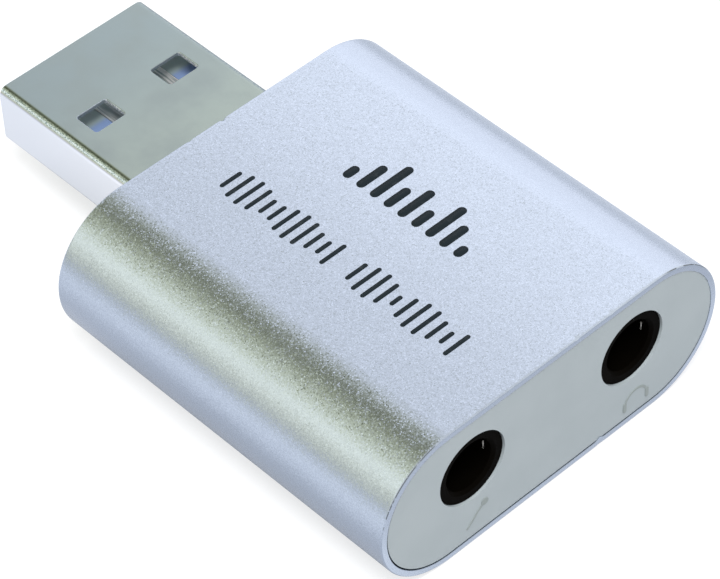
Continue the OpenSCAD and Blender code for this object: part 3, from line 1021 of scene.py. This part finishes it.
@dataclass
class Sleeve:
    """The extruded flat-oval sleeve, rebated at both ends for the caps."""

    width: float = 27.6
    height: float = 10.7
    length: float = 28.1
    front: float = -21.45
    wall: float = 0.9
    lip: float = 0.45
    rebate: float = 1.5
    outer_round: float = 0.12
    inner_round: float = 0.04
    arc_steps: int = 56
    flat_steps: int = 160
    belts: tuple[float, ...] = (0.25, 0.4, 0.6, 1.0)
    nicks: tuple[Nick, ...] = (
        Nick((-0.1, 6.65, 10.7), 0.2, 0.16),
        Nick((-2.8, 6.65, 10.7), 0.09, 0.13),
        Nick((1.85, -21.45, 10.7), 0.07, 0.14),
        Nick((4.7, -21.45, 10.7), 0.07, 0.13),
        Nick((3.9, -21.45, 0.35), 0.25, 0.22),
    )

    @property
    def core(self) -> float:
        """Half the length of the oval's straight part."""
        return (self.width - self.height) / 2

    @property
    def middle(self) -> float:
        """Height of the oval's middle."""
        return self.height / 2

    def stations(self) -> list[tuple[float, float]]:
        """Step round the oval.

        Returns:
            The middle of the round and the turn from straight up, for each place.
        """
        around = []
        for side in (1, -1):
            turns = [HALF_TURN * step / self.arc_steps for step in range(self.arc_steps + 1)]
            start = 0.0 if side > 0 else HALF_TURN
            around += [(side * self.core, start + turn) for turn in turns]
            along = [1 - 2 * step / self.flat_steps for step in range(1, self.flat_steps)]
            around += [(side * self.core * share, HALF_TURN if side > 0 else 0.0) for share in along]
        return around

    def outline(self, inset: float, steps: int = 48) -> Outline:
        """Draw the oval.

        Args:
            inset: How far inside the sleeve's own oval it is drawn.
            steps: Number of steps round each end.

        Returns:
            The closed outline.
        """
        radius = self.middle - inset
        points = []
        for side in (1, -1):
            for step in range(steps + 1):
                turn = HALF_TURN * step / steps + (0.0 if side > 0 else HALF_TURN)
                points.append((side * self.core + radius * math.sin(turn), self.middle + radius * math.cos(turn)))
        return points

    def section(self) -> Outline:
        """Draw the wall's section.

        Returns:
            The closed outline, as distance from the oval's middle line and place along the sleeve.
        """
        outer = self.middle
        lip, wall = outer - self.lip, outer - self.wall
        soft, fine = self.outer_round, self.inner_round
        corners = [(lip, 0.0, fine), (outer, 0.0, soft)]
        corners += [(outer, along, 0.0) for along in self.belts]
        corners += [(outer, self.length - along, 0.0) for along in self.belts[::-1]]
        corners += [(outer, self.length, soft), (lip, self.length, fine)]
        corners += [(lip, self.length - self.rebate, 0.0), (wall, self.length - self.rebate, 0.0)]
        corners += [(wall, self.rebate, 0.0), (lip, self.rebate, 0.0)]
        return rounded([corner[:2] for corner in corners], [corner[2] for corner in corners])

    def wear(self, point: Vector) -> Vector:
        """Press the nicks into the edges.

        Args:
            point: A place on the new sleeve.

        Returns:
            The place on the dented one.
        """
        towards = Vector((0.0, 0.0, self.middle - point.z)).normalized()
        moved = point.copy()
        for nick in self.nicks:
            away = (point - Vector(nick.place)).length / nick.reach
            moved += towards * nick.depth * math.exp(-away * away)
        return moved

    def build(self) -> bpy.types.Object:
        """Sweep the section round the oval.

        Returns:
            The piece.
        """
        section = self.section()
        rings = [
            [
                Vector((
                    centre + radius * math.sin(turn), self.front + along, self.middle + radius * math.cos(turn)
                ))
                for radius, along in section
            ]
            for centre, turn in self.stations()
        ]
        piece = Blank().loft(rings).bend(self.wear).piece("sleeve", ALUMINIUM)
        piece.modifiers.new("flat_faces", "WEIGHTED_NORMAL").keep_sharp = False
        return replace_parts(piece, "shell")


@dataclass
class Pictograms:
    """Two shallow signs raised on the front cap, one below each jack."""

    face: float = FRONT_FACE
    proud: float = 0.03
    pad_proud: float = 0.05
    sunk: float = 0.05
    soft: float = 0.03
    line: float = 0.17
    head: float = 0.27
    head_steps: int = 32
    handle: tuple[Point, ...] = ((-7.05, 1.42), (-6.66, 1.8), (-6.28, 2.22), (-5.8, 2.62))
    head_at: Point = (-5.64, 2.75)
    band_middle: Point = (7.0, 1.5)
    band_radius: float = 0.95
    band_steps: int = 20
    pad: Point = (0.27, 0.55)

    def raise_sign(self, name: str, line: Outline, pads: Sequence[Outline]) -> bpy.types.Object:
        """Raise one sign.

        Args:
            name: Name of the piece.
            line: The outline of its line.
            pads: The outlines of its thicker places.

        Returns:
            The piece.
        """
        blank = Blank().slab([line], Plane.FRONT, self.face - self.proud, self.face + self.sunk)
        for pad in pads:
            blank.slab([pad], Plane.FRONT, self.face - self.pad_proud, self.face + self.sunk)
        # the signs take a darker copy of the cap's plastic as painted shade
        return soften(blank.piece(name, SHADED_SIGN_PLASTIC), self.soft)

    def microphone(self) -> bpy.types.Object:
        """A stick with a round head."""
        head = circle(self.head_at, self.head, self.head_steps)
        return self.raise_sign("microphone_sign", stroke(self.handle, self.line), [head])

    def headphone(self) -> bpy.types.Object:
        """A band with a pad at each end.

        Returns:
            The piece.
        """
        x, z = self.band_middle
        turns = [HALF_TURN * step / self.band_steps for step in range(self.band_steps + 1)]
        band = [(x + self.band_radius * math.cos(turn), z + self.band_radius * math.sin(turn)) for turn in turns]
        wide, tall = self.pad
        feet = (x - self.band_radius, x + self.band_radius)
        pads = [stroke([(foot, z - tall / 2), (foot, z + tall / 2)], wide) for foot in feet]
        return self.raise_sign("headphone_sign", stroke(band, self.line), pads)


@dataclass
class LevelBars:
    """Two rows of dark level bars, printed on top of the sleeve."""

    top: float = 10.7
    film: float = 0.012
    sunk: float = 0.03
    wide_levels: tuple[float, ...] = (0.35, 0.7, 1.0, 0.6, 0.85, 0.5, 0.95, 0.65, 0.3)
    wide_along: Span = (-2.35, -11.75)
    wide_foot: float = 1.6
    wide_tall: float = 3.4
    wide_line: float = 0.62
    fine_groups: tuple[tuple[float, float, int], ...] = ((2.3, -6.6, 12), (-8.6, -16.9, 11))
    fine_foot: float = -4.55
    fine_tall: float = 2.5
    fine_line: float = 0.3
    fine_lowest: float = 0.34
    swell_from: float = 0.15
    swells: float = 2.1
    swell_power: float = 0.8

    def bar(self, blank: Blank, along: float, foot: float, tall: float, line: float) -> None:
        """Add one bar with round ends, standing across the part."""
        path = [(foot + line / 2, along), (foot + tall - line / 2, along)]
        blank.slab([stroke(path, line)], Plane.TOP, self.top - self.sunk, self.top + self.film)

    def wide_row(self) -> bpy.types.Object:
        """Print the row of wide bars.

        Returns:
            The piece.
        """
        blank = Blank()
        start, end = self.wide_along
        for index, level in enumerate(self.wide_levels):
            along = start + (end - start) * index / (len(self.wide_levels) - 1)
            self.bar(blank, along, self.wide_foot, level * self.wide_tall, self.wide_line)
        return blank.piece("wide_level_bars", INK)

    def fine_row(self) -> bpy.types.Object:
        """Print the row of fine bars, in two groups that swell and sink.

        Returns:
            The piece.
        """
        blank = Blank()
        for start, end, count in self.fine_groups:
            for index in range(count):
                share = index / (count - 1)
                swell = abs(math.sin(HALF_TURN * (self.swell_from + self.swells * share))) ** self.swell_power
                tall = (self.fine_lowest + (1 - self.fine_lowest) * swell) * self.fine_tall
                foot = self.fine_foot + (self.fine_tall - tall) / 2
                self.bar(blank, start + (end - start) * share, foot, tall, self.fine_line)
        return blank.piece("fine_level_bars", INK)


@dataclass
class SpringEdges:
    """The edge of the first spring in each jack, which catches the light inside the bore."""

    wall: float = 1.76
    proud: float = 0.04
    along: Span = (-20.5, -20.42)
    tall: Span = (5.9, 6.55)

    def build(self) -> bpy.types.Object:
        """Stand one edge in each bore.

        Returns:
            The piece.
        """
        blank = Blank()
        for side in Side:
            wall = side.value * JACK_PITCH / 2 + self.wall
            edge = rectangle(wall - self.proud, wall + self.proud, *self.tall)
            blank.slab([edge], Plane.FRONT, *self.along)
        return blank.piece("jack_spring_edges", SPRING_ALLOY)


@dataclass(frozen=True)
class JackHoles:
    """The two round holes in the front cap, which the noses of the jacks stand in."""

    height: float = 6.3
    radius: float = 2.59

    def outlines(self) -> tuple[Outline, ...]:
        """The holes as seen from the front."""
        return tuple(circle((side.value * JACK_PITCH / 2, self.height), self.radius) for side in Side)


@dataclass
class EndCap:
    """A white moulded cap: a face set just inside the sleeve's end, a spigot behind it and ledges for the board."""

    name: str
    node: str
    face: float
    inward: int
    holes: tuple[Outline, ...]
    sleeve: Sleeve = field(default_factory=Sleeve)
    flange: float = 1.3
    flange_inset: float = 0.5
    play: Point = (0.035, 0.02)
    spigot: float = 2.5
    spigot_inset: float = 1.0
    spigot_wall: float = 0.7
    ledge_from: float = 10.16
    ledges: tuple[tuple[float, float, float], ...] = ((3.85, 4.65, 12.2), (1.95, 2.75, 10.9))
    overlap: float = 0.1
    soft: float = 0.05

    def slab(self, outlines: Sequence[Outline], near: float, far: float) -> Blank:
        """A plate between two depths behind the face."""
        levels = sorted((self.face + self.inward * near, self.face + self.inward * far))
        return Blank().slab(outlines, Plane.FRONT, *levels)

    def build(self) -> bpy.types.Object:
        """Mould the face, the spigot and the ledges as one piece.

        Returns:
            The piece.
        """
        rim = [(x + self.play[0], z + self.play[1]) for x, z in self.sleeve.outline(self.flange_inset)]
        piece = self.slab([rim, *self.holes], 0.0, self.flange).piece(self.name, CAP_PLASTIC)
        ring = [self.sleeve.outline(inset) for inset in (self.spigot_inset, self.spigot_inset + self.spigot_wall)]
        start, end = self.flange - self.overlap, self.flange + self.spigot
        carve(piece, self.slab(ring, start, end), "UNION")
        for side in (-1, 1):
            for low, high, reach in self.ledges:
                shelf = rectangle(side * self.ledge_from, side * reach, low, high)
                carve(piece, self.slab([shelf], start, end - self.overlap), "UNION")
        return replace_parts(soften(piece, self.soft), self.node)


@dataclass
class PlugShield:
    """The folded steel shield, with its windows, its locked seam underneath and its two solder legs."""

    width: float = 12.0
    height: float = 4.5
    back: float = 1.65
    tip: float = 21.45
    middle: float = 5.17
    sheet: float = 0.3
    fold: float = 0.6
    fold_steps: int = 14
    window: Point = (2.4, 1.95)
    window_pitch: float = 6.1
    window_middle: float = 14.975
    window_round: float = 0.2
    window_steps: int = 5
    seam: float = 0.06
    keys: tuple[float, float] = (18.25, 9.85)
    key: tuple[float, float, float] = (0.9, 0.5, 0.25)
    leg_span: Span = (2.35, 3.95)
    leg_path: tuple[Point, ...] = ((5.7, 3.95), (7.15, 3.95), (7.15, 2.0))
    over: float = 0.5
    clearance: float = 0.1
    soft: float = 0.08
    soft_steps: int = 3

    def outline(self, inset: float) -> Outline:
        """Draw the shield's section.

        Args:
            inset: How far inside the shield's own section it is drawn.

        Returns:
            The closed outline.
        """
        wide, high = self.width / 2 - inset, self.height / 2 - inset
        corners = rectangle(-wide, wide, self.middle - high, self.middle + high)
        return rounded(corners, [self.fold - inset] * 4, self.fold_steps)

    def window_at(self, side: int) -> Outline:
        """Draw one window as seen from above.

        Args:
            side: -1 for the left window and 1 for the right one.

        Returns:
            The closed outline.
        """
        x, y = side * self.window_pitch / 2, self.window_middle
        wide, long = self.window[0] / 2, self.window[1] / 2
        corners = rectangle(x - wide, x + wide, y - long, y + long)
        return rounded(corners, [self.window_round] * 4, self.window_steps)

    def seam_line(self) -> Outline:
        """Draw the slit where the sheet's edges meet, with a dovetail key at each end.

        Returns:
            The closed outline.
        """
        out, root, flare = self.key
        path = [(0.0, self.tip + self.over)]
        for place in self.keys:
            path += [(0.0, place + root), (out, place + root + flare)]
            path += [(out, place - root - flare), (0.0, place - root)]
        path.append((0.0, self.back - self.over))
        return strip(path, self.seam)

    def build(self) -> bpy.types.Object:
        """Fold the tube, cut its windows and seam, and join its legs.

        Returns:
            The piece.
        """
        tube = [self.outline(0.0), self.outline(self.sheet)]
        piece = Blank().slab(tube, Plane.FRONT, self.back, self.tip).piece("plug_shield", NICKEL)
        above, below = self.middle + self.height, self.middle - self.height
        for side in (-1, 1):
            hole = Blank().slab([self.window_at(side)], Plane.TOP, below, above)
            carve(piece, hole, "DIFFERENCE")
        floor = self.middle - self.height / 2
        slit = Blank().slab([self.seam_line()], Plane.TOP, floor - self.over, floor + 2 * self.sheet)
        carve(piece, slit, "DIFFERENCE")
        for side in (-1, 1):
            path = [(side * x, z) for x, z in self.leg_path]
            leg = Blank().slab([strip(path, self.sheet)], Plane.FRONT, *self.leg_span)
            carve(piece, leg, "UNION")
        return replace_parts(soften(piece, self.soft, self.soft_steps), "usb_shield")


@dataclass
class PackedNodes:
    """The CAD nodes that stay, each with its finish and, where it shows, softened edges."""

    finishes: Mapping[str, Finish] = field(default_factory=lambda: {
        "usb_tongue": TONGUE_PLASTIC, "usb_contact": GOLD,
        "mic_jack": JACK_PLASTIC, "mic_": SPRING_ALLOY,
        "headphone_jack": JACK_PLASTIC, "headphone_": SPRING_ALLOY,
        "board": LAMINATE, "codec_chip": CHIP_EPOXY, "codec_leads": TINNED,
        "crystal_base": CRYSTAL_CERAMIC, "crystal_lid": CAN_METAL,
        "capacitor_can": CAN_METAL, "capacitor_base": BASE_PLASTIC,
        "resistor": RESISTOR, "chip_capacitor": CAPACITOR,
    })
    soft: Mapping[str, float] = field(default_factory=lambda: {
        "usb_tongue": 0.06, "usb_contact": 0.03,
    })

    @staticmethod
    def lookup(table: Mapping[str, Any], name: str) -> Any:
        """The entry of the longest key that a node's name starts with, or None."""
        keys = [key for key in table if name.startswith(key)]
        return table[max(keys, key=len)] if keys else None

    def dress(self) -> int:
        """Give every shown node its finish and its soft edges.

        Returns:
            How many nodes show.
        """
        shown = [(name, node) for name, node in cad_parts.items() if not node.hide_render]
        for name, node in shown:
            material = self.lookup(self.finishes, name).material()
            for material_slot in node.material_slots:
                material_slot.material = material
            width = self.lookup(self.soft, name)
            if width:
                soften(node, width, weld=True)
        return len(shown)


# The studio


@dataclass(frozen=True)
class PhotoCamera:
    """The camera that the photograph was fitted with: a long lens, above and to the left of the jacks."""

    target: Place = (-0.733, -5.935, 5.35)
    distance: float = 210.895
    azimuth: float = -41.522
    elevation: float = 46.045
    roll: float = -2.748
    lens: float = 175.95
    sensor: float = 36.0
    nearest: float = 10.0

    def place(self) -> bpy.types.Object:
        """Make the camera and set it as the scene's.

        Returns:
            The camera.
        """
        turn, tilt = math.radians(self.azimuth), math.radians(self.elevation)
        back = Vector((math.sin(turn) * math.cos(tilt), -math.cos(turn) * math.cos(tilt), math.sin(tilt)))
        data = bpy.data.cameras.new("photo_camera")
        data.lens = self.lens
        data.sensor_width = self.sensor
        data.sensor_fit = "HORIZONTAL"
        data.clip_start = self.nearest * MM
        camera = into_scene("photo_camera", data)
        facing = back.to_track_quat("Z", "Y").to_matrix().to_4x4()
        seat = Matrix.Translation((Vector(self.target) + back * self.distance) * MM)
        camera.matrix_world = seat @ facing @ Matrix.Rotation(math.radians(self.roll), 4, "Z")
        bpy.context.scene.camera = camera
        return camera


@dataclass(frozen=True)
class DomeStop:
    """The light that comes from one angle of the studio's roof, in degrees about Y from straight up to -X."""

    angle: float
    level: float
    tint: Colour


BLACK: Colour = (0.0, 0.0, 0.0)
WHITE: Colour = (1.0, 1.0, 1.0)
COOL: Colour = (0.975, 0.98, 1.06)
WARM: Colour = (1.0, 1.01, 0.90)
STRAW: Colour = (1.0, 1.0, 0.82)
OLIVE: Colour = (1.0, 1.02, 0.74)
MOSS: Colour = (1.0, 1.02, 0.6)


@dataclass(frozen=True)
class Studio:
    """A pale floor, a soft lamp and a plain sky, which turns towards the plug into two panels and a dark gap."""

    ceiling: tuple[DomeStop, ...] = (
        DomeStop(-180, 0.8, WHITE), DomeStop(-100, 0.96, COOL), DomeStop(-78, 0.99, COOL),
        DomeStop(-66, 0.97, COOL), DomeStop(-56, 1.02, COOL), DomeStop(-44, 1.1, COOL),
        DomeStop(-37, 1.19, COOL), DomeStop(-31, 0.82, COOL), DomeStop(-22, 0.79, WHITE),
        DomeStop(-12, 0.47, OLIVE), DomeStop(-3, 0.165, MOSS), DomeStop(8, 0.12, MOSS),
        DomeStop(17, 0.42, MOSS), DomeStop(28, 0.63, OLIVE), DomeStop(40, 0.89, OLIVE),
        DomeStop(50, 1.2, WARM), DomeStop(58, 1.26, WARM), DomeStop(67, 1.0, STRAW),
        DomeStop(76, 0.76, STRAW), DomeStop(90, 0.56, STRAW), DomeStop(102, 0.76, WHITE),
        DomeStop(180, 0.76, WHITE),
    )
    brightest: float = 1.3
    plain_sky: Colour = (0.8, 0.8, 0.81)
    ceiling_from: Span = (-0.02, 0.32)
    floor_colour: Colour = (0.39, 0.395, 0.41)
    floor_reach: float = 3000.0
    floor_drop: float = 0.05
    floor_thickness: float = 1.0
    floor_lift: Colour = (0.67, 0.67, 0.67)
    far_lift: Colour = (0.84, 0.84, 0.84)
    lift_reach: Span = (120.0, 900.0)
    near_glow: Colour = (0.475, 0.49, 0.56)
    far_glow: Colour = (0.085, 0.1, 0.15)
    glow_middle: float = -18.0
    glow_reach: Span = (14.0, 70.0)
    hollow: float = 30.0
    hollow_samples: int = 8
    lamp_place: Place = (-175.0, -198.0, 594.0)
    lamp_size: float = 260.0
    lamp_power: float = 2.8

    def roof(self) -> None:
        """Make the world: white to the camera, and the sky with its panels to everything else."""
        world = bpy.data.worlds.new("studio")
        world.use_nodes = True
        bpy.context.scene.world = world
        graph = Graph(world.node_tree)
        x, y, z = graph.axes(graph.node("ShaderNodeTexCoord").outputs["Generated"])
        share = (-x).arctan2(z) * (1 / FULL_TURN) + 0.5
        stops = [
            (stop.angle / 360 + 0.5, tuple(stop.level / self.brightest * part for part in stop.tint))
            for stop in self.ceiling
        ]
        ramp = graph.node("ShaderNodeValToRGB", {"stops": stops}, {0: share})
        plain_sky = tuple(part / self.brightest for part in self.plain_sky)
        light = graph.mix(y.rise(*self.ceiling_from), plain_sky, ramp.outputs[0])
        panels = graph.node("ShaderNodeBackground", inputs={"Color": light, "Strength": self.brightest})
        plain = graph.node("ShaderNodeBackground", inputs={"Color": WHITE, "Strength": 1.0})
        rays = graph.node("ShaderNodeLightPath").outputs
        mixed = graph.node(
            "ShaderNodeMixShader", inputs={0: rays["Is Camera Ray"], 1: panels.outputs[0], 2: plain.outputs[0]}
        )
        graph.node("ShaderNodeOutputWorld", inputs={"Surface": mixed.outputs[0]})

    def floor(self) -> bpy.types.Object:
        """Lay the floor, which the camera sees lifted to white apart from the part's shadow.

        Metal mirrors another glow, which fades away from the part and in the hollow under it.

        Returns:
            The floor.
        """
        reach, level = self.floor_reach, -self.floor_drop
        sheet = rectangle(-reach, reach, -reach, reach)
        data = Blank().slab([sheet], Plane.TOP, level - self.floor_thickness, level).finished("studio_floor")
        material = bpy.data.materials.new("pale_floor")
        material.use_nodes = True
        graph = Graph(material.node_tree)
        rays = graph.node("ShaderNodeLightPath").outputs
        mirrored = graph.value(rays["Is Glossy Ray"]).at_least(graph.value(rays["Is Transmission Ray"]))
        hollows = graph.node(
            "ShaderNodeAmbientOcclusion", {"samples": self.hollow_samples}, {"Distance": self.hollow * MM}
        )
        x, y, _ = graph.axes(graph.node("ShaderNodeNewGeometry").outputs["Position"])
        sideways = x - self.glow_middle * MM
        away = (sideways * sideways + y * y).root()
        glow = graph.mix(away.over(self.glow_reach), self.near_glow, self.far_glow)
        mirror_lift = graph.mix(mirrored * graph.value(hollows.outputs["AO"]), BLACK, glow)
        camera_lift = graph.mix(away.over(self.lift_reach), self.floor_lift, self.far_lift)
        shader = graph.node("ShaderNodeBsdfPrincipled", inputs={
            "Base Color": self.floor_colour, "Roughness": 1.0, "Specular IOR Level": 0.0, "Emission Strength": 1.0,
            "Emission Color": graph.mix(rays["Is Camera Ray"], mirror_lift, camera_lift),
        })
        graph.node("ShaderNodeOutputMaterial", inputs={"Surface": shader.outputs[0]})
        data.materials.append(material)
        ground = into_scene("studio_floor", data)
        return ground

    def lamp(self) -> bpy.types.Object:
        """Hang the soft lamp that gives the part its shadow.

        Returns:
            The lamp.
        """
        data = bpy.data.lights.new("soft_lamp", "AREA")
        data.shape = "DISK"
        data.size = self.lamp_size * MM
        data.energy = self.lamp_power
        lamp = into_scene("soft_lamp", data)
        lamp.location = Vector(self.lamp_place) * MM
        lamp.visible_glossy = False
        lamp.rotation_euler = Vector(self.lamp_place).to_track_quat("Z", "Y").to_euler()
        return lamp

    def build(self) -> None:
        """Set up the roof, the floor, the lamp and the plain view."""
        bpy.context.scene.view_settings.view_transform = "Standard"
        self.roof()
        self.floor()
        self.lamp()


def main() -> None:
    """Build the camera, the studio and the part, in that order."""
    logging.basicConfig(level=logging.INFO, format="%(message)s")
    PhotoCamera().place()
    Studio().build()
    signs, bars, plug = Pictograms(), LevelBars(), PlugShield()
    front = EndCap("jack_end_cap", "front_cap", FRONT_FACE, 1, JackHoles().outlines())
    rear = EndCap("plug_end_cap", "rear_cap", REAR_FACE, -1, (plug.outline(-plug.clearance),))
    steps = (
        Sleeve().build, front.build, rear.build, plug.build, signs.microphone, signs.headphone,
        SpringEdges().build, bars.wide_row, bars.fine_row,
    )
    for build in steps:
        piece = build()
        log.info("built %s with %d corners", piece.name, len(piece.data.vertices))
    log.info("dressed %d nodes of the frame", PackedNodes().dress())


if __name__ == "__main__":
    main()
